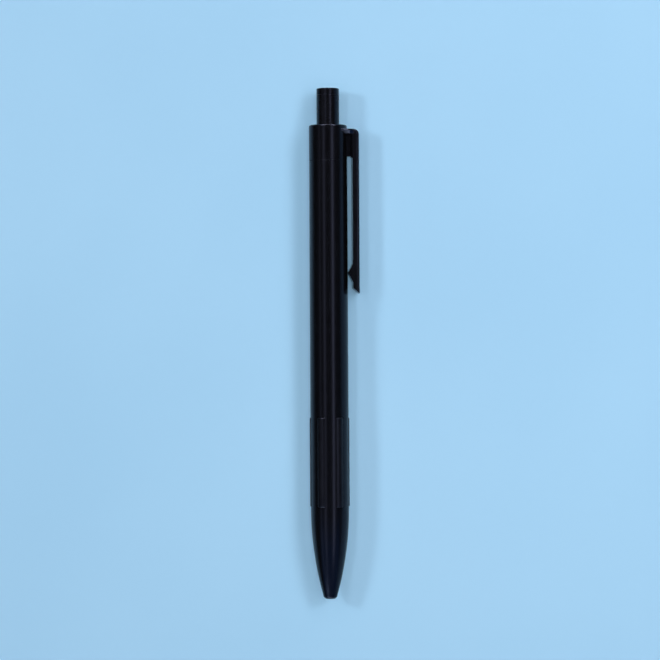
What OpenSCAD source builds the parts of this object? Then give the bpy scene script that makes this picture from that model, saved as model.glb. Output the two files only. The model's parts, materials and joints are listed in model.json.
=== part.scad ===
// Retractable ballpoint pen with a click button, a pocket clip and soft grip pads.
// Each piece is drawn upright in the pen's own frame: the writing end is at z = 0, the button is
// at the top and the pocket clip is on the +X side. lay_down() then puts the whole pen on the desk.

/* [Barrel] */
// Radius of the barrel over the hand grip and the middle
barrel_r = 5.36; // [5.2:0.02:5.4]
// Radius of the barrel where it meets the collar
barrel_rear_r = 5.31; // [5.2:0.01:5.32]
// Height of the seam between barrel and collar
seam_z = 122.9; // [121.5:0.1:123]
// Height at which the nose starts to curve in
nose_z = 25.5; // [24:0.1:26]
// Radius of the curve that closes the nose
nose_arc_r = 91; // [88:1:96]
// Radius of the hole that the writing point comes out of
tip_hole_r = 1.2; // [1.15:0.01:1.25]

/* [Grip] */
// Number of grip pads round the barrel
pad_count = 6; // [6:1:6]
// Radius over the crowns of the soft grip pads
pad_r = 5.56; // [5.5:0.01:5.6]
// Width of each pad
pad_width = 2.36; // [2:0.02:2.6]
// Lower end of the pads
pad_z = 25.8; // [25.6:0.1:26.4]
// Length of the pads
pad_length = 25.1; // [20:0.1:26]

/* [Collar and clip] */
// Outer radius of the collar
collar_r = 5.34; // [5.33:0.01:5.4]
// Length of the collar
collar_length = 10; // [9.8:0.1:10.1]
// Distance from the pen's axis to the clip's outer face
clip_out = 8.56; // [8.5:0.02:8.8]
// Thickness of the clip's blade
clip_thickness = 1.5; // [1.3:0.1:1.6]
// Width of the clip's blade
clip_width = 6.1; // [5.4:0.1:6.6]
// Height of the clip's outer tip
clip_tip_z = 85.7; // [84:0.1:90]

/* [Resting on the desk] */
// Roll that brings the clip's lower edge down to the desk
roll = 16.7; // [12:0.1:16.8]

/* [Button] */
// Radius of the push button
button_r = 3.08; // [3:0.02:3.1]
// Length of the button that stands out of the collar
button_out = 10.3; // [9:0.1:11]
// Length of the button's end cap
cap_length = 1.8; // [1.4:0.1:2.2]

/* [Hidden] */
$fn = 64;

cut = 1;                    // how far a cutter runs past what it cuts
fit = 0.05;                 // gap between two pieces that are fitted together
slide = 0.1;                // gap round a piece that slides
sides = 3;                  // guide ribs, lugs and rotor ribs all stand at thirds of a turn
side_turn = 360 / sides;

// Barrel
cylinder_top_z = 85;        // above this the barrel narrows slightly to the collar
lip_z = 1.2;                // height of the rounded lip round the tip hole
nose_steps = 12;            // cones that make the curve of the nose
spring_seat_z = 8;
spring_bore_r = 2.4;
spring_bore_top_z = 24;
refill_bore_r = 3.3;
sleeve_bore_z = 98;
sleeve_bore_r = 4.3;

// Thread between cam sleeve and barrel, drawn as rings
thread_turns = 4;
thread_z = 115.4;
thread_pitch = 1.5;
thread_width = 0.6;
thread_r = 4.65;

// Grip pads
pad_seat = 4.4;             // distance from the axis to the flat that each pad sits on
pad_turn = 360 / pad_count; // one pad is in line with the clip
pad_foot = sqrt(barrel_r ^ 2 - (pad_width / 2) ^ 2);
pad_crown_at = (pad_r ^ 2 - barrel_r ^ 2) / (2 * (pad_r - pad_foot));
pad_crown_r = pad_r - pad_crown_at;

// Collar
collar_top_z = seam_z + collar_length;
collar_wall_z = collar_top_z - 1.6;
collar_edge = 0.25;

// Clip
clip_in = clip_out - clip_thickness;
plate_top_z = collar_top_z - 1.2;
plate_low_z = plate_top_z - 1.3;
plate_half_w = 4.5;
clip_corner_r = 1.5;
clip_corner_steps = 6;
web_half_w = 1.3;
web_low_z = seam_z + 1.2;
web_in = 4.4;
barb_top_z = clip_tip_z + 8.4;
barb_point_z = clip_tip_z + 5.9;
barb_low_z = clip_tip_z + 3.2;
blade_low_z = clip_tip_z + 1.6;
barb_gap = 0.08;            // between barb and barrel

// Button and indexing mechanism
button_top_z = collar_top_z + button_out;
button_joint_z = button_top_z - cap_length;
button_low_z = collar_wall_z - 3.3;
button_bore_r = 2.2;
flange_r = 3.45;
flange_height = 1.6;
sleeve_r = sleeve_bore_r - fit;
sleeve_in_r = 3.6;
sleeve_low_z = 108;
sleeve_top_z = collar_wall_z - slide;
rib_low_z = 112;
rib_high_z = 121;
rib_in_r = 3.05;
rib_angle = 14;
rib_slope = 45;
plunger_r = 2.9;
plunger_low_z = 118;
lug_r = 3.5;
lug_angle = 22;
lug_low_z = 118.6;
lug_high_z = 121.6;
crown_teeth = 6;
crown_depth = 0.9;
crown_half_w = 0.9;
rotor_r = 2.6;
rotor_low_z = 109.1;
rotor_top_z = 116.9;
rotor_rib_low_z = 111.6;
rotor_rib_top_z = 117.7;
rotor_socket_r = 1.18;
rotor_socket_depth = 3.2;

// Refill
refill_r = 1.6;
refill_in_r = 1.2;
tube_low_z = 26;
tube_top_z = 108;
plug_r = 1.15;
plug_low_z = 104;
plug_flange_z = 109;
boss_r = 1.1;
boss_top_z = 112;
socket_low_z = 16;
socket_r = 1.3;
socket_bore_r = 0.95;
socket_bore_top_z = 20.2;
stop_low_z = 24.6;
stop_r = 2.05;
stem_top_z = 30;
point_r = 0.9;
point_neck_r = 1.0;
point_cone_z = 6.2;
point_low_z = 2.3;
point_lip_r = 0.44;
point_top_z = 20;
ball_r = 0.35;
ball_z = point_low_z + 0.1;
ball_fit = 0.02;
ink_channel_r = 0.2;
ink_low_z = 30.2;
ink_top_z = 88;
follower_top_z = 91;
ink_r = 1.17;

// Return spring
spring_wire_r = 0.17;
spring_mean_r = 1.87;
spring_turns = 10;
spring_end_turns = 0.75;    // closed turns at each end
spring_turn_steps = 14;
spring_wire_sides = 6;

// Lying on the desk: the crown of the pad nearest to the desk carries the pen
axis_height = pad_crown_at * cos(90 - roll - pad_turn) + pad_crown_r;
left_reach = pad_crown_at * cos(roll) + pad_crown_r;
right_reach = clip_out * cos(roll) + clip_width / 2 * sin(roll);

function nose_r(z) = barrel_r - nose_arc_r + sqrt(nose_arc_r ^ 2 - (nose_z - z) ^ 2);

// Lays the upright pen on its side: button end towards +Y, clip to the +X side and rolled down,
// lowest point at z = 0 and its box centred on the origin.
module lay_down() {
    translate([(left_reach - right_reach) / 2, -button_top_z / 2, axis_height])
        rotate([0, roll, 0])
            rotate([-90, 0, 0])
                children();
}

// A solid of revolution from its outline in radius and height.
module turned(outline) {
    rotate_extrude() polygon(outline);
}

// Part of a ring from angle start, over angle sweep.
module ring_part(r_in, r_out, z_low, z_high, start, sweep) {
    rotate([0, 0, start])
        rotate_extrude(angle = sweep)
            translate([r_in, z_low])
                square([r_out - r_in, z_high - z_low]);
}

// Copies turned round the axis at equal steps.
module around(count, start = 0) {
    for (i = [0 : count - 1])
        rotate([0, 0, start + i * 360 / count])
            children();
}

module barrel() {
    lip_r = nose_r(lip_z);
    outer = concat(
        [[tip_hole_r, 0], [lip_r - 0.75, 0], [lip_r - 0.2, 0.45], [lip_r, lip_z]],
        [
            for (i = [1 : nose_steps])
                let (z = lip_z + (nose_z - lip_z) * i / nose_steps) [nose_r(z), z]
        ],
        [[barrel_r, cylinder_top_z], [barrel_rear_r, seam_z]]
    );
    inner = [
        [sleeve_bore_r, seam_z], [sleeve_bore_r, sleeve_bore_z], [refill_bore_r, sleeve_bore_z - 1],
        [refill_bore_r, spring_bore_top_z + 0.9], [spring_bore_r, spring_bore_top_z],
        [spring_bore_r, spring_seat_z], [tip_hole_r, spring_seat_z]
    ];
    color("#16171b")
        lay_down()
            difference() {
                turned(concat(outer, inner));
                around(pad_count)
                    translate([pad_seat, -pad_width / 2 - fit / 2, pad_z - fit / 2])
                        cube([pad_r, pad_width + fit, pad_length + fit]);
                for (i = [0 : thread_turns - 1])
                    translate([0, 0, thread_z + i * thread_pitch - slide])
                        cylinder(h = thread_width + 2 * slide, r = thread_r + slide);
            }
}

// A soft insert: flat below, with a rounded crown that stands a little proud of the barrel.
module grip_pad(i) {
    color("#1f2024")
        lay_down()
            rotate([0, 0, (i - 1) * pad_turn])
                translate([0, 0, pad_z])
                    linear_extrude(pad_length)
                        intersection() {
                            translate([pad_crown_at, 0])
                                circle(pad_crown_r);
                            translate([pad_seat + fit, -pad_width / 2])
                                square([pad_r, pad_width]);
                        }
}

// The collar closes the top of the pen, guides the button and carries the clip.
module clip_collar() {
    color("#16171b")
        lay_down()
            difference() {
                turned([
                    [sleeve_bore_r, seam_z + fit], [collar_r, seam_z + fit],
                    [collar_r, collar_top_z - collar_edge], [collar_r - collar_edge, collar_top_z],
                    [button_r + slide, collar_top_z], [button_r + slide, collar_wall_z],
                    [sleeve_bore_r, collar_wall_z]
                ]);
                translate([web_in - slide, -web_half_w - slide, web_low_z - slide])
                    cube([cut * 2, 2 * (web_half_w + slide), plate_top_z - web_low_z - 2 * slide]);
            }
}

// Side view of the clip: top corner, blade, slanted tip and the barb that presses on the barrel.
module clip_side() {
    corner = [clip_out - clip_corner_r, plate_top_z - clip_corner_r];
    polygon(concat(
        [[web_in, plate_top_z]],
        [
            for (i = [0 : clip_corner_steps])
                let (a = 90 * i / clip_corner_steps)
                    corner + clip_corner_r * [sin(a), cos(a)]
        ],
        [
            [clip_out, clip_tip_z], [clip_in, blade_low_z], [clip_in, barb_low_z],
            [barrel_r + barb_gap, barb_point_z], [clip_in, barb_top_z],
            [clip_in, plate_low_z], [web_in, plate_low_z]
        ]
    ));
}

module clip_blade() {
    rotate([90, 0, 0])
        linear_extrude(clip_width, center = true)
            clip_side();
}

// Top plate of the clip: wide at the collar, narrowing to the blade's width and to its underside.
module clip_plate() {
    intersection() {
        translate([0, 0, plate_low_z])
            linear_extrude(plate_top_z - plate_low_z)
                polygon([
                    [0, -plate_half_w], [collar_r, -plate_half_w + 0.3], [clip_in, -clip_width / 2],
                    [clip_in, clip_width / 2], [collar_r, plate_half_w - 0.3], [0, plate_half_w]
                ]);
        rotate([90, 0, 90])
            linear_extrude(clip_out)
                polygon([
                    [-clip_width / 2, plate_low_z], [clip_width / 2, plate_low_z],
                    [plate_half_w, plate_top_z], [-plate_half_w, plate_top_z]
                ]);
    }
}

module pocket_clip() {
    color("#141519")
        lay_down() {
            difference() {
                union() {
                    clip_blade();
                    clip_plate();
                }
                translate([0, 0, seam_z])
                    cylinder(h = collar_length + cut, r = collar_r + 0.06);
            }
            translate([web_in, -web_half_w, web_low_z])
                cube([clip_in - web_in + 0.5, 2 * web_half_w, plate_low_z - web_low_z + 0.4]);
        }
}

// Guide ribs with slanted lower ends, which turn the rotor as it rises.
module guide_ribs() {
    difference() {
        around(sides)
            ring_part(rib_in_r, sleeve_in_r + fit, rib_low_z, rib_high_z, -rib_angle / 2, rib_angle);
        around(sides)
            translate([0, -1.2, rib_low_z - 0.5])
                rotate([rib_slope, 0, 0])
                    translate([0, -2, -2])
                        cube([sleeve_r, 4, 2]);
    }
}

module cam_sleeve() {
    color("#d8d8d2")
        lay_down() {
            difference() {
                union() {
                    translate([0, 0, sleeve_low_z])
                        cylinder(h = sleeve_top_z - sleeve_low_z, r = sleeve_r);
                    for (i = [0 : thread_turns - 1])
                        translate([0, 0, thread_z + i * thread_pitch])
                            cylinder(h = thread_width, r = thread_r);
                }
                translate([0, 0, sleeve_low_z - cut])
                    cylinder(h = sleeve_top_z - sleeve_low_z + 2 * cut, r = sleeve_in_r);
            }
            guide_ribs();
        }
}

module push_button() {
    flange_top_z = collar_wall_z - slide;
    flange_low_z = flange_top_z - flange_height;
    color("#16171b")
        lay_down()
            turned([
                [button_bore_r, button_low_z], [button_r, button_low_z],
                [button_r, flange_low_z], [flange_r, flange_low_z],
                [flange_r, flange_top_z], [button_r, flange_top_z],
                [button_r, button_joint_z], [button_bore_r, button_joint_z]
            ]);
}

module button_cap() {
    edge = 0.3;
    color("#141519")
        lay_down()
            turned([
                [0, button_joint_z - 2], [button_bore_r - fit, button_joint_z - 2],
                [button_bore_r - fit, button_joint_z + fit], [button_r, button_joint_z + fit],
                [button_r, button_top_z - edge], [button_r - edge, button_top_z], [0, button_top_z]
            ]);
}

// The plunger is pressed into the button. Its lugs run between the guide ribs, and the crown
// on its lower end pushes the rotor.
module cam_plunger() {
    shoulder_z = button_low_z - fit;
    stem_r = button_bore_r - fit;
    color("#c8cdd2")
        lay_down()
            difference() {
                union() {
                    turned([
                        [0, plunger_low_z], [plunger_r, plunger_low_z], [plunger_r, shoulder_z],
                        [stem_r, shoulder_z], [stem_r, shoulder_z + 6], [0, shoulder_z + 6]
                    ]);
                    around(sides, side_turn / 2)
                        ring_part(plunger_r - fit, lug_r, lug_low_z, lug_high_z,
                                  -lug_angle / 2, lug_angle);
                }
                around(crown_teeth)
                    translate([1.2, 0, plunger_low_z])
                        rotate([90, 0, 90])
                            linear_extrude(sleeve_r)
                                polygon([
                                    [-crown_half_w, -0.01], [crown_half_w, -0.01], [0, crown_depth]
                                ]);
                translate([0, 0, plunger_low_z - cut])
                    cylinder(h = 5 + cut, r = 1.9);
            }
}

// The rotor sits on the refill. Its ribs run between the guide ribs, or rest on their slanted
// ends when the point is out.
module index_rotor() {
    color("#e6e2d6")
        lay_down()
            difference() {
                union() {
                    turned([
                        [0, rotor_low_z], [rotor_r - 0.3, rotor_low_z], [rotor_r, rotor_low_z + 0.3],
                        [rotor_r, rotor_top_z], [1.7, rotor_top_z + 0.2],
                        [1.7, rotor_top_z + 3], [0, rotor_top_z + 3]
                    ]);
                    around(sides, side_turn / 2)
                        ring_part(rotor_r - fit, lug_r, rotor_rib_low_z, rotor_rib_top_z,
                                  -rib_angle / 2, rib_angle);
                }
                translate([0, 0, rotor_low_z - cut])
                    cylinder(h = rotor_socket_depth + cut, r = rotor_socket_r);
                around(sides, side_turn / 2)
                    translate([rotor_r, -0.45, rotor_rib_top_z])
                        rotate([-rib_slope, 0, 0])
                            translate([-0.2, -1, 0])
                                cube([2, 3, 1.5]);
            }
}

// Height of the spring's wire, from its turns: closed ends and an even pitch between them.
function spring_height(turn) =
    let (
        low = spring_seat_z + spring_wire_r + 0.02,
        high = stop_low_z - spring_wire_r - 0.02,
        closed = spring_end_turns * spring_wire_r * 2.1,
        open_turns = spring_turns - 2 * spring_end_turns,
        rise = (high - low - 2 * closed) / open_turns
    )
    turn < spring_end_turns ? low + turn * spring_wire_r * 2.1 :
    turn > spring_turns - spring_end_turns ? high - (spring_turns - turn) * spring_wire_r * 2.1 :
    low + closed + (turn - spring_end_turns) * rise;

module return_spring() {
    rings = spring_turns * spring_turn_steps;
    points = [
        for (i = [0 : rings])
            let (turn = i / spring_turn_steps, a = turn * 360, z = spring_height(turn))
                for (k = [0 : spring_wire_sides - 1])
                    let (b = k * 360 / spring_wire_sides, r = spring_mean_r + spring_wire_r * cos(b))
                        [r * cos(a), r * sin(a), z + spring_wire_r * sin(b)]
    ];
    walls = [
        for (i = [0 : rings - 1])
            for (k = [0 : spring_wire_sides - 1])
                let (
                    n = (k + 1) % spring_wire_sides,
                    low = i * spring_wire_sides,
                    high = low + spring_wire_sides
                )
                    [low + k, high + k, high + n, low + n]
    ];
    start = [for (k = [0 : spring_wire_sides - 1]) k];
    end = [for (k = [spring_wire_sides - 1 : -1 : 0]) rings * spring_wire_sides + k];
    color("#b9bcc0")
        lay_down()
            polyhedron(points, concat([start], walls, [end]));
}

module refill_tube() {
    color("#dfe3e6", 0.5)
        lay_down()
            turned([
                [refill_in_r, tube_low_z], [refill_r, tube_low_z],
                [refill_r, tube_top_z], [refill_in_r, tube_top_z]
            ]);
}

// Brass socket that joins the point to the tube and holds the end of the spring.
module refill_tip_socket() {
    color("#b8924a")
        lay_down()
            turned([
                [socket_bore_r, socket_low_z], [socket_r - 0.15, socket_low_z],
                [socket_r, socket_low_z + 0.5], [socket_r, stop_low_z],
                [stop_r, stop_low_z], [stop_r, tube_low_z - fit],
                [plug_r, tube_low_z - fit], [plug_r, stem_top_z], [0.6, stem_top_z],
                [0.6, socket_bore_top_z], [socket_bore_r, socket_bore_top_z]
            ]);
}

module writing_point() {
    color("#c9b27a")
        lay_down()
            difference() {
                turned([
                    [0, point_low_z], [point_lip_r, point_low_z],
                    [point_lip_r + 0.02, point_low_z + 0.5], [point_neck_r, point_cone_z],
                    [point_neck_r, socket_low_z - fit],
                    [point_r, socket_low_z - fit], [point_r, point_top_z], [0, point_top_z]
                ]);
                translate([0, 0, ball_z])
                    sphere(r = ball_r + ball_fit);
                translate([0, 0, point_low_z - cut])
                    cylinder(h = cut + 0.1, r = ball_r + ball_fit);
                translate([0, 0, ball_z])
                    cylinder(h = point_top_z, r = ink_channel_r);
            }
}

module writing_ball() {
    color("#8e9399")
        lay_down()
            translate([0, 0, ball_z])
                sphere(r = ball_r);
}

module ink_column() {
    color("#101a5c")
        lay_down()
            translate([0, 0, ink_low_z])
                cylinder(h = ink_top_z - ink_low_z, r = ink_r);
}

module ink_follower() {
    color("#d9c98a")
        lay_down()
            translate([0, 0, ink_top_z + fit])
                cylinder(h = follower_top_z - ink_top_z - fit, r = ink_r);
}

module refill_tail_plug() {
    color("#e9e9e4")
        lay_down()
            turned([
                [0, plug_low_z], [plug_r, plug_low_z], [plug_r, tube_top_z + fit],
                [refill_r, tube_top_z + fit], [refill_r, plug_flange_z],
                [boss_r, plug_flange_z], [boss_r, boss_top_z], [0, boss_top_z]
            ]);
}

barrel();
grip_pad(1);  // grip_pad_1
grip_pad(2);  // grip_pad_2
grip_pad(3);  // grip_pad_3
grip_pad(4);  // grip_pad_4
grip_pad(5);  // grip_pad_5
grip_pad(6);  // grip_pad_6
clip_collar();
pocket_clip();
cam_sleeve();
push_button();
button_cap();
cam_plunger();
index_rotor();
return_spring();
refill_tube();
refill_tip_socket();
writing_point();
writing_ball();
ink_column();
ink_follower();
refill_tail_plug();
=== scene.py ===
"""Looks of a retractable ballpoint pen: satin black mouldings, rubber grip strips, clip and refill.

Meshes are drawn upright in the pen's own frame, in millimetres: the writing end is at z = 0, the
button is at the top and the clip is on the +X side. LIE_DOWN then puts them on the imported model.
"""

import json
import math

import bmesh
import bpy
from mathutils import Matrix, Vector


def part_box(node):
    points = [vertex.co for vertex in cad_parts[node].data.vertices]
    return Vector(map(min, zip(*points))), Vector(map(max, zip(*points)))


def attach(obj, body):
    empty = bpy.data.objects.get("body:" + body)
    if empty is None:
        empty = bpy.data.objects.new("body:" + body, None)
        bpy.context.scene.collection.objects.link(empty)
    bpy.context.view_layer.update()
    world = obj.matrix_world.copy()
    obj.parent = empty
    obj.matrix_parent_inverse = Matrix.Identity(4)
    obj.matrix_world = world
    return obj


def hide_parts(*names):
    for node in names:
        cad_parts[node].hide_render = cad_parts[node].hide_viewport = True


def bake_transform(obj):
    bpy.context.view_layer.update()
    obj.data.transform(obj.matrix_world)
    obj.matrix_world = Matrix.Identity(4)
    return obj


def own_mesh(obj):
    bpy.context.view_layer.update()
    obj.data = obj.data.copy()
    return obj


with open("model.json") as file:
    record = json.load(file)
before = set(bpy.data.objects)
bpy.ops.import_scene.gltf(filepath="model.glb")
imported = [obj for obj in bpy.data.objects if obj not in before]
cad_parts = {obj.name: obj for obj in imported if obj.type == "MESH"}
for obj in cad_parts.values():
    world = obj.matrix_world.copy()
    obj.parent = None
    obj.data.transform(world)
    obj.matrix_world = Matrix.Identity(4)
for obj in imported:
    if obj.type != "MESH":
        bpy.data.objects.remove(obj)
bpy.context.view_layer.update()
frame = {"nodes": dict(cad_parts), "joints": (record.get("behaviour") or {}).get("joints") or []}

MM = 0.001
SEGMENTS = 144
JOINTS = {joint["name"]: joint for joint in frame["joints"]}

# Where the pen lies: the axis is the barrel's middle, and the roll turns the clip to the desk.
BARREL_LOW, BARREL_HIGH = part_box("barrel")
AXIS_X = (BARREL_LOW.x + BARREL_HIGH.x) / 2
AXIS_Z = (BARREL_LOW.z + BARREL_HIGH.z) / 2
NOSE_Y = BARREL_LOW.y
ROLL = math.atan2(JOINTS["clip_flex"]["axis"][0], JOINTS["clip_flex"]["axis"][2])
LIE_DOWN = (
    Matrix.Translation((AXIS_X, NOSE_Y, AXIS_Z))
    @ Matrix.Rotation(ROLL, 4, "Y")
    @ Matrix.Rotation(math.radians(-90), 4, "X")
    @ Matrix.Scale(MM, 4)
)


def span(node):
    """Low and high end of a CAD node along the pen, in mm from the writing end."""
    low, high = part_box(node)
    return (low.y - NOSE_Y) / MM, (high.y - NOSE_Y) / MM


def radius(node):
    """Outer radius of a round CAD node in mm."""
    low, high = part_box(node)
    return (high.x - low.x) / 2 / MM


# ---------------------------------------------------------------- mesh helpers


def finished(name, bm, body, material, nodes, sharp=32):
    """Puts a mesh drawn in the pen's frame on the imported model, in place of the CAD nodes."""
    bmesh.ops.remove_doubles(bm, verts=bm.verts, dist=1e-5)
    bmesh.ops.recalc_face_normals(bm, faces=bm.faces)
    bm.transform(LIE_DOWN)
    mesh = bpy.data.meshes.new(name)
    bm.to_mesh(mesh)
    bm.free()
    for polygon in mesh.polygons:
        polygon.use_smooth = True
    mesh.set_sharp_from_angle(angle=math.radians(sharp))
    mesh.materials.append(material)
    piece = bpy.data.objects.new(name, mesh)
    bpy.context.scene.collection.objects.link(piece)
    shading = piece.modifiers.new("even shading", "WEIGHTED_NORMAL")
    shading.keep_sharp = True
    shading.weight = 100
    if body:
        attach(piece, body)
    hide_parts(*nodes)
    return piece


def rounded(corners, steps=5):
    """Closed outline from corners (u, v, radius), each corner rounded with its own radius."""
    outline = []
    for i, (u, v, r) in enumerate(corners):
        here = Vector((u, v))
        back = Vector(corners[i - 1][:2]) - here
        ahead = Vector(corners[(i + 1) % len(corners)][:2]) - here
        if r == 0:
            outline.append(here)
            continue
        half = back.angle(ahead) / 2
        reach = min(r / math.tan(half), 0.48 * back.length, 0.48 * ahead.length)
        r = reach * math.tan(half)
        centre = here + (back.normalized() + ahead.normalized()).normalized() * (r / math.sin(half))
        first = here + back.normalized() * reach - centre
        last = here + ahead.normalized() * reach - centre
        start = math.atan2(first.y, first.x)
        sweep = math.remainder(math.atan2(last.y, last.x) - start, math.tau)
        for k in range(steps + 1):
            turn = start + sweep * k / steps
            outline.append(centre + r * Vector((math.cos(turn), math.sin(turn))))
    return outline


def circle_turns(count=SEGMENTS):
    """Even turns of a full circle, in radians."""
    return [math.tau * i / count for i in range(count)]


def turned(outline, turns=None):
    """A solid of revolution from its closed outline in radius and height."""
    turns = turns or circle_turns()
    bm = bmesh.new()
    rings = []
    for r, z in outline:
        spots = turns if r > 1e-6 else [0]
        rings.append([bm.verts.new((r * math.cos(a), r * math.sin(a), z)) for a in spots])
    for ring, following in zip(rings, rings[1:] + rings[:1]):
        for i in range(len(turns)):
            j = i + 1
            quad = [
                ring[i % len(ring)],
                ring[j % len(ring)],
                following[j % len(following)],
                following[i % len(following)],
            ]
            corners = list(dict.fromkeys(quad))
            if len(corners) > 2:
                bm.faces.new(corners)
    return bm


def extruded(outline, half_width, edge, steps=4):
    """An outline in (x, z) made into a bar along y, with its two side edges rounded."""
    count = len(outline)
    bisectors = []
    for i, here in enumerate(outline):
        back = (here - outline[i - 1]).normalized()
        ahead = (outline[(i + 1) % count] - here).normalized()
        normal = Vector((back.y + ahead.y, -back.x - ahead.x)).normalized()
        lean = max(0.3, normal.dot(Vector((back.y, -back.x))))
        bisectors.append(normal / lean)
    area = sum(a.x * b.y - b.x * a.y for a, b in zip(outline, outline[1:] + outline[:1]))
    inward = -1 if area > 0 else 1
    bm = bmesh.new()
    rings = []
    for side in (-1, 1):
        order = range(steps + 1) if side < 0 else range(steps, -1, -1)
        for k in order:
            turn = math.pi / 2 * k / steps
            inset = edge * (1 - math.sin(turn))
            y = side * (half_width - edge * (1 - math.cos(turn)))
            rings.append([
                bm.verts.new((p.x + inward * inset * n.x, y, p.y + inward * inset * n.y))
                for p, n in zip(outline, bisectors)
            ])
    for ring, following in zip(rings, rings[1:]):
        for i in range(count):
            j = (i + 1) % count
            bm.faces.new([ring[i], ring[j], following[j], following[i]])
    bm.faces.new(rings[0])
    bm.faces.new(list(reversed(rings[-1])))
    return bm


def lofted(rings):
    """A closed skin through rings of the same number of points."""
    bm = bmesh.new()
    made = [[bm.verts.new(p) for p in ring] for ring in rings]
    count = len(rings[0])
    for ring, following in zip(made, made[1:]):
        for i in range(count):
            j = (i + 1) % count
            bm.faces.new([ring[i], ring[j], following[j], following[i]])
    bm.faces.new(made[0])
    bm.faces.new(list(reversed(made[-1])))
    return bm


def combined(first, second, operation):
    """Boolean of two bmeshes, returned as a new bmesh. Both inputs are used up."""
    objects = []
    for bm in (first, second):
        bmesh.ops.remove_doubles(bm, verts=bm.verts, dist=1e-5)
        bmesh.ops.recalc_face_normals(bm, faces=bm.faces)
        mesh = bpy.data.meshes.new("operand")
        bm.to_mesh(mesh)
        bm.free()
        operand = bpy.data.objects.new("operand", mesh)
        bpy.context.scene.collection.objects.link(operand)
        objects.append(operand)
    boolean = objects[0].modifiers.new("boolean", "BOOLEAN")
    boolean.operation = operation
    boolean.solver = "EXACT"
    boolean.object = objects[1]
    bpy.context.view_layer.update()
    result = objects[0].evaluated_get(bpy.context.evaluated_depsgraph_get())
    bm = bmesh.new()
    bm.from_mesh(result.to_mesh())
    result.to_mesh_clear()
    for operand in objects:
        mesh = operand.data
        bpy.data.objects.remove(operand)
        bpy.data.meshes.remove(mesh)
    return bm


# ------------------------------------------------------------------- materials


class Graph:
    """A small wrapper for building a material's node tree."""

    def __init__(self, name):
        self.material = bpy.data.materials.new(name)
        self.material.use_nodes = True
        self.tree = self.material.node_tree
        self.tree.nodes.clear()
        self.shader = self.add("ShaderNodeBsdfPrincipled")
        output = self.add("ShaderNodeOutputMaterial")
        self.tree.links.new(self.shader.outputs["BSDF"], output.inputs["Surface"])
        self.place = self.add("ShaderNodeTexCoord").outputs["Object"]

    def add(self, kind, **properties):
        node = self.tree.nodes.new(kind)
        for key, value in properties.items():
            setattr(node, key, value)
        return node

    def put(self, node, **inputs):
        """Sets input sockets by name: a socket is linked, anything else is a constant."""
        for key, value in inputs.items():
            socket = node.inputs[key.replace("_", " ")]
            if isinstance(value, bpy.types.NodeSocket):
                self.tree.links.new(value, socket)
            else:
                socket.default_value = value
        return node

    def stretched(self, scale):
        """Object coordinates scaled by its own factor along each axis."""
        mapping = self.put(self.add("ShaderNodeMapping"), Vector=self.place, Scale=scale)
        return mapping.outputs["Vector"]

    def noise(self, scale, detail=3.0, rough=0.55, vector=None):
        node = self.add("ShaderNodeTexNoise")
        self.put(node, Vector=vector or self.place, Scale=scale, Detail=detail, Roughness=rough)
        return node.outputs["Fac"]

    def between(self, factor, low, high, start=0.3, end=0.7):
        """A number that runs from low to high while factor runs from start to end."""
        node = self.add("ShaderNodeMapRange", interpolation_type="SMOOTHSTEP")
        self.put(node, Value=factor, From_Min=start, From_Max=end, To_Min=low, To_Max=high)
        return node.outputs["Result"]

    def tinted(self, factor, first, second):
        """A colour that runs from first to second while factor runs from 0 to 1."""
        node = self.add("ShaderNodeMix", data_type="RGBA")
        self.put(node, Factor=factor)
        node.inputs[6].default_value = (*first, 1)
        node.inputs[7].default_value = (*second, 1)
        return node.outputs[2]

    def total(self, *factors):
        """The sum of several numbers."""
        result = factors[0]
        for factor in factors[1:]:
            node = self.add("ShaderNodeMath", operation="ADD")
            self.tree.links.new(result, node.inputs[0])
            self.tree.links.new(factor, node.inputs[1])
            result = node.outputs[0]
        return result

    def bumped(self, height, depth):
        """Surface relief from a number, with its depth in metres."""
        node = self.put(self.add("ShaderNodeBump"), Height=height, Distance=depth)
        self.put(self.shader, Normal=node.outputs["Normal"])


# Colours of the mirrored light: black mouldings mirror it cooler than it is.
WHITE = (1, 1, 1, 1)
COOL = (0.5, 0.62, 1, 1)
# A low index keeps the black mouldings from going grey at their rims.
BLACK_IOR = 1.28


def moulded_plastic(name, dark, light, smooth, rough, ior=BLACK_IOR, sheen=COOL):
    """Moulded plastic: fine spark texture, uneven gloss, faint scuffs along the pen and dust."""
    g = Graph(name)
    cloud = g.noise(420, detail=4)
    spark = g.noise(9000, detail=2, rough=0.6)
    streak = g.noise(1, detail=5, rough=0.7, vector=g.stretched((2600, 260, 2600)))
    specks = g.between(g.noise(5200, detail=1), 0, 1, start=0.74, end=0.8)
    g.put(g.shader, Base_Color=g.tinted(g.total(cloud, specks), dark, light))
    g.put(g.shader, IOR=ior, Specular_Tint=sheen)
    gloss = g.between(cloud, smooth, rough, start=0.3, end=0.7)
    worn = g.between(streak, 0, 0.04, start=0.6, end=0.75)
    g.put(g.shader, Roughness=g.total(gloss, worn))
    g.bumped(g.total(spark, streak, streak), 0.0000007)
    return g.material


def rubber(name, dark, light):
    """Soft-touch rubber: a fine matte grain with paler rubbed patches."""
    g = Graph(name)
    grain = g.noise(6500, detail=4, rough=0.65)
    patch = g.noise(500, detail=4)
    g.put(g.shader, Base_Color=g.tinted(g.between(patch, 0, 1), dark, light))
    g.put(g.shader, IOR=BLACK_IOR, Specular_Tint=COOL)
    g.put(g.shader, Roughness=g.between(g.total(patch, grain), 0.28, 0.38, start=0.7, end=1.3))
    g.bumped(grain, 0.000004)
    return g.material


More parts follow.
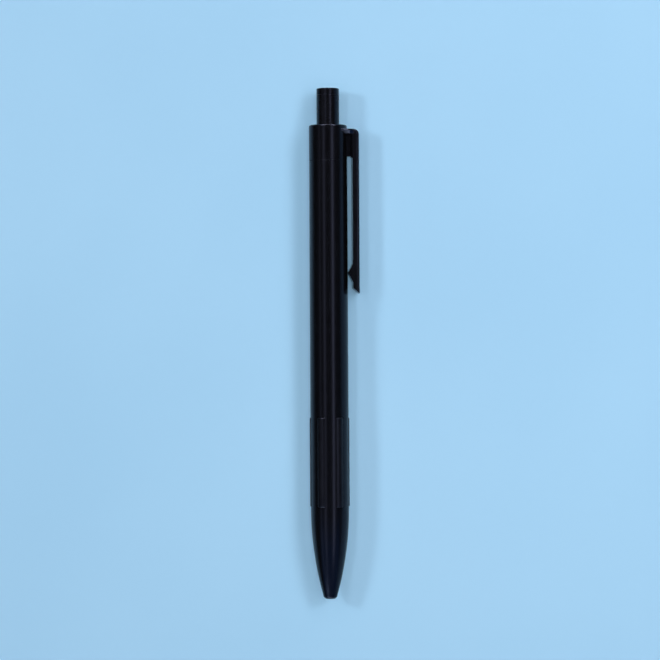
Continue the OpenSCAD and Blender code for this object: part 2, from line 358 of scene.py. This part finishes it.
def metal(name, dark, light, smooth, rough):
    """Turned or drawn metal with fine lines and a slight stain."""
    g = Graph(name)
    lines = g.noise(1, detail=4, vector=g.stretched((300, 9000, 300)))
    stain = g.noise(900, detail=3)
    g.put(g.shader, Base_Color=g.tinted(stain, dark, light), Metallic=1.0)
    g.put(g.shader, Roughness=g.between(lines, smooth, rough))
    g.bumped(lines, 0.000002)
    return g.material


def clear_plastic(name, dark, light, clarity):
    """Extruded tube: mostly clear, with a milky cast and drawing lines."""
    g = Graph(name)
    lines = g.noise(1, detail=3, vector=g.stretched((5000, 120, 5000)))
    g.put(g.shader, Base_Color=g.tinted(lines, dark, light), Transmission_Weight=clarity, IOR=1.49)
    g.put(g.shader, Roughness=g.between(lines, 0.12, 0.25))
    g.bumped(lines, 0.000003)
    return g.material


def paste(name, dark, light, smooth, rough):
    """A thick wet column: slow swirls of colour and a glossy skin."""
    g = Graph(name)
    swirl = g.noise(1, detail=4, vector=g.stretched((900, 200, 900)))
    g.put(g.shader, Base_Color=g.tinted(swirl, dark, light), IOR=1.48)
    g.put(g.shader, Roughness=g.between(swirl, smooth, rough))
    g.bumped(swirl, 0.00001)
    return g.material


SHELL = moulded_plastic(
    "satin_black_shell", (0.0016, 0.0016, 0.0020), (0.0030, 0.0030, 0.0036), 0.24, 0.27
)
CLIP_BLACK = moulded_plastic(
    "satin_black_clip", (0.0018, 0.0018, 0.0022), (0.0032, 0.0032, 0.0038), 0.18, 0.23, ior=1.38
)
BUTTON_BLACK = moulded_plastic(
    "satin_black_button", (0.0020, 0.0020, 0.0024), (0.0034, 0.0034, 0.0040), 0.25, 0.29
)
GRIP_RUBBER = rubber("grip_rubber", (0.0026, 0.0026, 0.0030), (0.0044, 0.0044, 0.0050))
WHITE_ACETAL = moulded_plastic(
    "white_acetal", (0.66, 0.65, 0.60), (0.78, 0.77, 0.72), 0.38, 0.5, sheen=WHITE
)
GREY_ACETAL = moulded_plastic(
    "grey_acetal", (0.36, 0.38, 0.41), (0.46, 0.48, 0.51), 0.38, 0.5, sheen=WHITE
)
PLUG_WHITE = moulded_plastic(
    "white_plug", (0.70, 0.70, 0.68), (0.82, 0.82, 0.80), 0.35, 0.5, sheen=WHITE
)
SPRING_STEEL = metal("spring_steel", (0.48, 0.48, 0.49), (0.64, 0.64, 0.65), 0.18, 0.34)
BRASS = metal("turned_brass", (0.62, 0.45, 0.19), (0.74, 0.57, 0.28), 0.16, 0.32)
NICKEL_SILVER = metal("turned_point", (0.60, 0.54, 0.38), (0.74, 0.68, 0.50), 0.14, 0.30)
CARBIDE = metal("ground_ball", (0.36, 0.37, 0.39), (0.48, 0.49, 0.51), 0.08, 0.16)
CLEAR_TUBE = clear_plastic("clear_tube", (0.78, 0.82, 0.84), (0.88, 0.91, 0.92), 0.85)
GREASE = clear_plastic("follower_grease", (0.72, 0.62, 0.30), (0.84, 0.76, 0.46), 0.6)
INK = paste("ink_paste", (0.006, 0.008, 0.07), (0.012, 0.016, 0.13), 0.12, 0.3)

# ---------------------------------------------------------------------- barrel

SEAM = span("barrel")[1]
BARREL_R = radius("barrel")
REAR_R = 5.31
CYLINDER_TOP = 85
NOSE_START = 25.5
NOSE_ARC = 91
NOSE_STEPS = 26
LIP = 1.2
TIP_HOLE_R = 1.2

# Bores of the barrel, from the seam down: cam sleeve, refill, spring.
SLEEVE_BORE_R = 4.3
SLEEVE_BORE_LOW = 98
REFILL_BORE_R = 3.3
SPRING_BORE_R = 2.4
SPRING_BORE_TOP = 24
SPRING_SEAT = 8

STRIPS = 6
STRIP_PITCH = math.tau / STRIPS
STRIP_R = 5.56
STRIP_HALF = 1.18
STRIP_SEAT = 4.45
STRIP_GAP = 0.03
STRIP_LOW, STRIP_HIGH = span("grip_pad_1")
POCKET_TURN = math.asin((STRIP_HALF + STRIP_GAP) / BARREL_R)


def nose_r(z):
    """Radius of the nose, whose side is one long arc."""
    return BARREL_R - NOSE_ARC + math.sqrt(NOSE_ARC**2 - (NOSE_START - z) ** 2)


def barrel_outline():
    """Half section of the barrel: lip, nose, straight part, slight taper and bores."""
    lip_r = nose_r(LIP)
    outer = rounded([
        (TIP_HOLE_R, 0, 0.12), (lip_r - 0.7, 0, 0.25), (lip_r - 0.16, 0.5, 0.5), (lip_r, LIP, 0),
        (BARREL_R, SEAM, 0), (0, SEAM, 0),
    ])[:-2]
    rises = [LIP + (NOSE_START - LIP) * i / NOSE_STEPS for i in range(1, NOSE_STEPS + 1)]
    nose = [Vector((nose_r(z), z)) for z in rises]
    grip = [STRIP_LOW - STRIP_GAP, STRIP_LOW + 1, STRIP_HIGH - 1, STRIP_HIGH + STRIP_GAP]
    straight = [Vector((BARREL_R, z)) for z in grip + [60, CYLINDER_TOP]]
    rear = [
        (BARREL_R - 0.012, 97), (BARREL_R - 0.03, 110),
        (REAR_R, SEAM - 0.06), (REAR_R - 0.05, SEAM),
    ]
    inner = [
        (SLEEVE_BORE_R, SEAM), (SLEEVE_BORE_R, SLEEVE_BORE_LOW),
        (REFILL_BORE_R, SLEEVE_BORE_LOW - 1), (REFILL_BORE_R, SPRING_BORE_TOP + 0.9),
        (SPRING_BORE_R, SPRING_BORE_TOP), (SPRING_BORE_R, SPRING_SEAT), (TIP_HOLE_R, SPRING_SEAT),
    ]
    return outer + nose + straight + [Vector(p) for p in rear + inner]


def strip_turns():
    """Turns round the barrel with a line on each pocket's two edges."""
    across = [-POCKET_TURN + 2 * POCKET_TURN * k / 10 for k in range(10)]
    between = [POCKET_TURN + (STRIP_PITCH - 2 * POCKET_TURN) * k / 14 for k in range(14)]
    return [STRIP_PITCH * i + a for i in range(STRIPS) for a in across + between]


def barrel():
    """The barrel, with a pocket sunk into it for each strip."""
    bm = turned(barrel_outline(), strip_turns())
    sunk = []
    for face in bm.faces:
        middle = face.calc_center_median()
        turn = math.remainder(math.atan2(middle.y, middle.x), STRIP_PITCH)
        on_skin = math.hypot(middle.x, middle.y) > BARREL_R - 0.1
        if on_skin and abs(turn) < POCKET_TURN and STRIP_LOW < middle.z < STRIP_HIGH:
            sunk.append(face)
    grown = bmesh.ops.extrude_face_region(bm, geom=sunk)
    bmesh.ops.delete(bm, geom=sunk, context="FACES")
    for vert in grown["geom"]:
        if isinstance(vert, bmesh.types.BMVert):
            turn = math.atan2(vert.co.y, vert.co.x)
            home = round(turn / STRIP_PITCH) * STRIP_PITCH
            y = math.hypot(vert.co.x, vert.co.y) * math.sin(turn - home)
            vert.co.x = STRIP_SEAT * math.cos(home) - y * math.sin(home)
            vert.co.y = STRIP_SEAT * math.sin(home) + y * math.cos(home)
    finished("barrel_shell", bm, "pen_body", SHELL, ["barrel"])


def edge_drop(distance, r):
    """How far a rounded edge of radius r has fallen at this distance in from the side."""
    if distance >= r:
        return 0
    return r - math.sqrt(r * r - (r - distance) ** 2)


def grip_strip(i):
    """One rubber strip: crowned across, with rounded long edges and softer ends."""
    foot = math.sqrt(BARREL_R**2 - STRIP_HALF**2)
    crown_at = (STRIP_R**2 - BARREL_R**2) / (2 * (STRIP_R - foot))
    crown_r = STRIP_R - crown_at
    side_edge = 0.16
    end_edge = 0.4
    one_side = [0.2, 0.45, 0.7, 0.86, 0.92, 0.96, 0.985, 1]
    across = [-u for u in reversed(one_side)] + [0] + one_side
    from_end = [0, 0.02, 0.06, 0.12, 0.2, 0.28, 0.6, 2, 6, 12]
    length = STRIP_HIGH - STRIP_LOW
    along = from_end + [length - s for s in reversed(from_end)]
    rings = []
    for s in along:
        end_drop = edge_drop(min(s, length - s), end_edge)
        ring = []
        for u in across:
            y = u * STRIP_HALF
            top = crown_at + math.sqrt(crown_r**2 - y * y)
            drop = edge_drop(STRIP_HALF - abs(y), side_edge) + end_drop
            ring.append((top - drop, y, STRIP_LOW + s))
        ring += [(STRIP_SEAT + 0.02, y, STRIP_LOW + s) for y in (STRIP_HALF, 0, -STRIP_HALF)]
        rings.append(ring)
    bm = lofted(rings)
    bm.transform(Matrix.Rotation((i - 1) * STRIP_PITCH, 4, "Z"))
    name, node = f"grip_strip_{i}", f"grip_pad_{i}"
    finished(name, bm, "pen_body", GRIP_RUBBER, [node], sharp=50)


# ------------------------------------------------------------- collar and clip

COLLAR_LOW, COLLAR_TOP = span("clip_collar")
COLLAR_R = radius("clip_collar")
COLLAR_WALL = COLLAR_TOP - 1.6
BUTTON_R = radius("button_cap") + 0.08
BUTTON_TOP = span("button_cap")[1]

CLIP_OUT = 8.56
CLIP_IN = 6.7
CLIP_HALF = 3.05
CLIP_EDGE = 0.15
CLIP_CORNER_R = 1.5
CLIP_TIP = span("pocket_clip")[0] - 0.15
CLIP_SLANT = 1.6
BARB_LOW = CLIP_TIP + 3.2
BARB_POINT = CLIP_TIP + 5.9
BARB_TOP = CLIP_TIP + 8.4
PLATE_TOP = COLLAR_TOP - 1.2
PLATE_LOW = PLATE_TOP - 1.3
# How far out from the axis, and how wide each side of the middle, the top plate is.
PLATE_PLAN = ((2.4, 4.9), (4.4, 4.75), (5.6, 4.4), (6.3, 3.9), (6.9, 3.2))
WEB_HALF = 1.3
WEB_LOW = SEAM + 1.2
WEB_IN = 4.4


def box(low, high):
    """A plain box between two corners."""
    bm = bmesh.new()
    bmesh.ops.create_cube(bm, size=1)
    size = Vector(high) - Vector(low)
    bm.transform(Matrix.Translation((Vector(high) + Vector(low)) / 2) @ Matrix.Diagonal((*size, 1)))
    return bm


def collar():
    """The collar, closed at the top but for the button's hole, with a slot for the clip's root."""
    play = 0.1
    outline = rounded([
        (SLEEVE_BORE_R, COLLAR_LOW, 0), (COLLAR_R, COLLAR_LOW, 0.08), (COLLAR_R, COLLAR_TOP, 0.5),
        (BUTTON_R + play, COLLAR_TOP, 0.12), (BUTTON_R + play, COLLAR_WALL, 0),
        (SLEEVE_BORE_R, COLLAR_WALL, 0),
    ])
    slot = box(
        (WEB_IN - play, -WEB_HALF - play, WEB_LOW - play), (6.4, WEB_HALF + play, PLATE_TOP - 0.2)
    )
    bm = combined(turned(outline), slot, "DIFFERENCE")
    finished("collar", bm, "pen_body", SHELL, ["clip_collar"])


def blade_ring(middle, across, half_in, half_out, thickness, edge, lean=0.0):
    """A section of the clip, a rounded trapezium. across points from inner to outer face."""
    outline = rounded([
        (-thickness / 2, -half_in, CLIP_EDGE), (thickness / 2, -half_out, edge),
        (thickness / 2, half_out, edge), (-thickness / 2, half_in, CLIP_EDGE),
    ], steps=6)
    return [(middle.x + p.x * across.x, p.y, middle.y + p.x * (across.y + lean)) for p in outline]


def clip_blade():
    """Plate, corner and blade as one skin from inside the collar to the slanted tip."""
    thickness = CLIP_OUT - CLIP_IN
    plate_thickness = PLATE_TOP - PLATE_LOW
    corner = Vector((CLIP_OUT - CLIP_CORNER_R, PLATE_TOP - CLIP_CORNER_R))
    rings = []
    upright = Vector((0, 1))
    for x, half_out in PLATE_PLAN:
        middle = Vector((x, PLATE_TOP - plate_thickness / 2))
        rings.append(blade_ring(middle, upright, CLIP_HALF, half_out, plate_thickness, 0.3))
    steps = 8
    for k in range(steps + 1):
        turn = math.pi / 2 * k / steps
        grown = plate_thickness + (thickness - plate_thickness) * k / steps
        across = Vector((math.sin(turn), math.cos(turn)))
        middle = corner + across * (CLIP_CORNER_R - grown / 2)
        edge = 0.3 + 0.35 * k / steps
        rings.append(blade_ring(middle, across, CLIP_HALF, CLIP_HALF, grown, edge))
    level = Vector((1, 0))
    x = (CLIP_IN + CLIP_OUT) / 2
    for z in range(128, 89, -2):
        rings.append(blade_ring(Vector((x, z)), level, CLIP_HALF, CLIP_HALF, thickness, 0.65))
    lean = -CLIP_SLANT / thickness
    for rise, shrink in ((0.9, 0), (0.16, 0), (0.04, 0.05), (0, 0.1)):
        middle = Vector((x, CLIP_TIP + CLIP_SLANT / 2 + rise))
        half = CLIP_HALF - shrink
        rings.append(blade_ring(middle, level, half, half, thickness - shrink, 0.6, lean))
    return lofted(rings)


def clip():
    """The clip: blade, slanted tip, barb and the web that stiffens its root."""
    barb = extruded(rounded([
        (CLIP_IN + 0.3, BARB_TOP + 0.4, 0), (CLIP_IN + 0.3, BARB_LOW - 0.4, 0),
        (CLIP_IN, BARB_LOW, 0), (BARREL_R + 0.08, BARB_POINT, 0.4), (CLIP_IN, BARB_TOP, 0),
    ]), CLIP_HALF - 0.15, 0.25)
    web = extruded(rounded([
        (WEB_IN, PLATE_LOW + 0.4, 0), (WEB_IN, WEB_LOW, 0), (CLIP_IN - 0.5, WEB_LOW, 0.4),
        (CLIP_IN + 0.3, WEB_LOW - 0.9, 0), (CLIP_IN + 0.5, PLATE_LOW + 0.4, 0),
    ]), WEB_HALF, 0.12)
    cut_r = COLLAR_R + 0.05
    cut_top = COLLAR_TOP + 5
    cut = ((0, SEAM), (cut_r, SEAM), (cut_r, cut_top), (0, cut_top))
    collar_cut = turned([Vector(p) for p in cut])
    bm = combined(clip_blade(), barb, "UNION")
    bm = combined(bm, collar_cut, "DIFFERENCE")
    bm = combined(bm, web, "UNION")
    piece = finished("clip", bm, None, CLIP_BLACK, ["pocket_clip"], sharp=38)
    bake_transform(piece)


# ---------------------------------------------------------------------- button


def button():
    """The button's sleeve and its end cap, which meet at a fine ring line."""
    bore_r = 2.2
    stem_r = bore_r - 0.05
    line_edge = 0.06
    low, joint = span("push_button")
    flange_r = radius("push_button")
    flange_top = COLLAR_WALL - 0.1
    flange_low = flange_top - 1.6
    sleeve = rounded([
        (bore_r, low, 0.1), (BUTTON_R, low, 0.15), (BUTTON_R, flange_low, 0),
        (flange_r, flange_low, 0.1), (flange_r, flange_top, 0.1), (BUTTON_R, flange_top, 0),
        (BUTTON_R, joint, line_edge), (bore_r, joint, 0),
    ])
    finished(
        "button_sleeve", turned(sleeve), "button", BUTTON_BLACK, ["push_button"]
    )
    cap_low = joint + 0.04
    cap = rounded([
        (0, joint - 2, 0), (stem_r, joint - 2, 0.1), (stem_r, cap_low, 0),
        (BUTTON_R, cap_low, line_edge), (BUTTON_R, BUTTON_TOP, 0.25), (0, BUTTON_TOP, 0),
    ])
    finished("button_end", turned(cap), "button", BUTTON_BLACK, ["button_cap"])


# ------------------------------------------------------------ refill and spring


TUBE_R = 1.6
TUBE_IN_R = 1.2
INK_R = 1.17
SOCKET_R = 1.3
SOCKET_LOW = 16
SPRING_STOP_R = 2.05
SPRING_STOP_LOW = 24.6
POINT_R = 1.0
POINT_TOP = 20


def refill_piece(name, outline, material, node, count=64):
    """A turned piece of the refill."""
    finished(name, turned(outline, circle_turns(count)), "refill", material, [node])


def meniscus(edge_z, depth):
    """The hollow end of a column in the tube, from the wall to the middle."""
    return [
        Vector((INK_R * math.cos(a), edge_z - depth * math.sin(a)))
        for a in (0.0, 0.3, 0.7, 1.1, math.pi / 2)
    ]


def refill():
    """Tube, socket, point, ball, ink, grease follower and tail plug."""
    tube_low, tube_high = span("refill_tube")
    tube = rounded([
        (TUBE_IN_R, tube_low, 0.05), (TUBE_R, tube_low, 0.1),
        (TUBE_R, tube_high, 0.1), (TUBE_IN_R, tube_high, 0.05),
    ])
    refill_piece("refill_barrel", tube, CLEAR_TUBE, "refill_tube")

    stop_top = tube_low - 0.05
    socket = rounded([
        (0.95, SOCKET_LOW, 0.05), (SOCKET_R - 0.12, SOCKET_LOW, 0.08),
        (SOCKET_R, SOCKET_LOW + 0.6, 0.2), (SOCKET_R, 22.4, 0.05), (SOCKET_R - 0.08, 22.5, 0.03),
        (SOCKET_R - 0.08, 22.8, 0.03), (SOCKET_R, 22.9, 0.05), (SOCKET_R, SPRING_STOP_LOW, 0),
        (SPRING_STOP_R, SPRING_STOP_LOW, 0.1), (SPRING_STOP_R, stop_top, 0.1),
        (1.15, stop_top, 0), (1.15, 30, 0.15), (0.6, 30, 0.1), (0.6, 20.2, 0), (0.95, 20.2, 0),
    ])
    refill_piece("refill_socket", socket, BRASS, "refill_tip_socket")

    low = span("writing_point")[0]
    socket_end = SOCKET_LOW - 0.05
    point = rounded([
        (0.33, low, 0), (0.42, low, 0.04), (0.45, low + 0.5, 0.05), (0.52, low + 0.62, 0.05),
        (POINT_R, 6.2, 0.4), (POINT_R, 9.4, 0.03), (POINT_R - 0.07, 9.5, 0.03),
        (POINT_R - 0.07, 9.9, 0.03), (POINT_R, 10, 0.03), (POINT_R, socket_end, 0.06),
        (0.9, socket_end, 0), (0.9, POINT_TOP, 0.1), (0.2, POINT_TOP, 0), (0.2, low + 0.4, 0),
    ])
    refill_piece("point", point, NICKEL_SILVER, "writing_point")

    ball_low, ball_high = span("writing_ball")
    middle = (ball_low + ball_high) / 2
    ball_r = (ball_high - ball_low) / 2
    arc = [math.pi * k / 24 - math.pi / 2 for k in range(25)]
    ball = turned(
        [Vector((ball_r * math.cos(a), middle + ball_r * math.sin(a))) for a in arc],
        circle_turns(48),
    )
    finished("ball_bearing", ball, "ball", CARBIDE, ["writing_ball"])

    ink_low, ink_high = span("ink_column")
    ink = [Vector((0, ink_low)), Vector((INK_R, ink_low))] + meniscus(ink_high, 0.35)
    refill_piece("ink_fill", ink, INK, "ink_column", 48)

    grease_low, grease_high = span("ink_follower")
    grease = list(reversed(meniscus(grease_low, 0.33))) + meniscus(grease_high, 0.5)
    refill_piece("grease_fill", grease, GREASE, "ink_follower", 48)

    plug_low, plug_high = span("refill_tail_plug")
    rim_low, rim_top = tube_high + 0.05, tube_high + 1
    plug = rounded([
        (0, plug_low, 0), (1.15, plug_low, 0.2), (1.15, rim_low, 0), (TUBE_R, rim_low, 0.08),
        (TUBE_R, rim_top, 0.15), (1.1, rim_top, 0), (1.1, plug_high, 0.25), (0, plug_high, 0),
    ])
    refill_piece("tail_plug", plug, PLUG_WHITE, "refill_tail_plug")


def spring():
    """The return spring: closed and ground ends with an open pitch between."""
    low, high = span("return_spring")
    wire, coil = 0.17, 1.87
    count, closed = 10, 0.75
    steps, sides = 40, 12
    bottom = low + wire
    top = high - wire
    tight = 2.1 * wire
    pitch = (top - bottom - 2 * closed * tight) / (count - 2 * closed)
    rings = []
    for i in range(count * steps + 1):
        turn = i / steps
        if turn < closed:
            z = bottom + turn * tight
        elif turn > count - closed:
            z = top - (count - turn) * tight
        else:
            z = bottom + closed * tight + (turn - closed) * pitch
        a = turn * math.tau
        rings.append([
            (
                (coil + wire * math.cos(b)) * math.cos(a),
                (coil + wire * math.cos(b)) * math.sin(a),
                z + wire * math.sin(b),
            )
            for b in circle_turns(sides)
        ])
    bm = lofted(rings)
    piece = finished("coil_spring", bm, "pen_body", SPRING_STEEL, ["return_spring"])
    piece.modifiers.clear()  # the round wire is smooth without even shading
    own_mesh(piece)


def mechanism():
    """The cam sleeve, plunger and rotor keep their CAD shape and get a moulded finish."""
    finishes = {"cam_sleeve": WHITE_ACETAL, "cam_plunger": GREY_ACETAL, "index_rotor": WHITE_ACETAL}
    for node, material in finishes.items():
        mesh = frame["nodes"][node].data
        mesh.materials.clear()
        mesh.materials.append(material)


# -------------------------------------------------------- floor, light, camera


def pale_floor():
    """A wide sheet of pale blue paper under the pen."""
    g = Graph("pale_paper")
    fibre = g.noise(2600, detail=5, rough=0.7)
    cloud = g.between(g.noise(9, detail=2), 0, 1)
    g.put(g.shader, Base_Color=g.tinted(cloud, (0.355, 0.64, 0.89), (0.375, 0.665, 0.915)))
    g.put(g.shader, Roughness=g.between(fibre, 0.8, 0.95), Specular_IOR_Level=0.1)
    g.bumped(fibre, 0.00001)
    bm = bmesh.new()
    bmesh.ops.create_grid(bm, x_segments=40, y_segments=40, size=0.6)
    mesh = bpy.data.meshes.new("paper")
    bm.to_mesh(mesh)
    bm.free()
    mesh.materials.append(g.material)
    paper = bpy.data.objects.new("paper", mesh)
    bpy.context.scene.collection.objects.link(paper)


VIEW_TURN = ROLL - math.radians(3.2)
TOWARDS_CAMERA = Vector((math.sin(VIEW_TURN), 0, math.cos(VIEW_TURN)))
MIDDLE = LIE_DOWN @ Vector((0, 0, 75.4))


def soft_light(name, turn, lift, size, power, tint=(1, 1, 1), distance=0.6):
    """A light turned round the pen from the camera's side, and lifted towards the button's end."""
    turn, lift = math.radians(turn) + VIEW_TURN, math.radians(lift)
    way = Vector((math.sin(turn) * math.cos(lift), math.sin(lift), math.cos(turn) * math.cos(lift)))
    across = Vector((0, 1, 0)).cross(way).normalized()
    light = bpy.data.lights.new(name, "AREA")
    light.shape = "RECTANGLE"
    light.size, light.size_y = size
    light.energy = power
    light.color = tint
    lamp = bpy.data.objects.new(name, light)
    lamp.location = MIDDLE + way * distance
    lamp.rotation_euler = Matrix((across, way.cross(across), way)).transposed().to_euler()
    bpy.context.scene.collection.objects.link(lamp)
    return lamp


def card(name, turn, lift, size, power, tint=(1, 1, 1)):
    """A light that is only seen mirrored in the pen."""
    soft_light(name, turn, lift, size, power, tint).visible_diffuse = False


def paper_light(name, turn, lift, power):
    """A light that only falls on the paper and other matte faces, and isn't mirrored."""
    soft_light(name, turn, lift, (0.2, 0.2), power, distance=1.2).visible_glossy = False


def studio():
    """Softboxes make the streaks along the pen, and keys the bright spots on the collar's rim."""
    soft = (1, 0.9, 0.9)
    blue = (0.1, 0.42, 1)
    soft_light("right_softbox", 25, 10, (0.10, 0.9), 1.25, soft)
    soft_light("left_softbox", -26, 10, (0.10, 0.9), 0.68, soft)
    soft_light("side_softbox", -55, 10, (0.07, 0.9), 0.24, soft)
    card("right_key", 43, 60, (0.07, 0.4), 5.0, soft)
    card("left_key", -43, 60, (0.07, 0.4), 5.0, soft)
    card("nose_card", 0, -52, (2.2, 0.8), 3.8, blue)
    card("plate_card", 40, -84, (1.4, 0.36), 11.0)
    paper_light("front_paper_light", 1, 2, 5.6)
    paper_light("right_paper_light", 32, 15, 2.3)
    paper_light("left_paper_light", -58, 15, 2.8)
    world = bpy.data.worlds.new("studio")
    world.use_nodes = True
    background = world.node_tree.nodes["Background"]
    background.inputs["Color"].default_value = (0.55, 0.75, 1.0, 1)
    background.inputs["Strength"].default_value = 0.03
    bpy.context.scene.world = world
    bpy.context.scene.view_settings.view_transform = "Standard"


def camera():
    """Looks down on the pen, a little from its clip's side, with the button at the top."""
    lean = math.radians(0.32)
    distance = 0.7235
    aside = 0.00028
    side = Vector((0, 1, 0)).cross(TOWARDS_CAMERA)
    up = Vector((0, 1, 0)) * math.cos(lean) + side * math.sin(lean)
    right = up.cross(TOWARDS_CAMERA)
    data = bpy.data.cameras.new("camera")
    data.lens = 140.5
    data.sensor_width = 36
    data.clip_start = 0.01
    view = bpy.data.objects.new("camera", data)
    view.location = MIDDLE + TOWARDS_CAMERA * distance + right * aside
    view.rotation_euler = Matrix((right, up, TOWARDS_CAMERA)).transposed().to_euler()
    bpy.context.scene.collection.objects.link(view)
    bpy.context.scene.camera = view


barrel()
for number in range(1, STRIPS + 1):
    grip_strip(number)
collar()
clip()
button()
refill()
spring()
mechanism()
pale_floor()
studio()
camera()

bpy.context.view_layer.update()
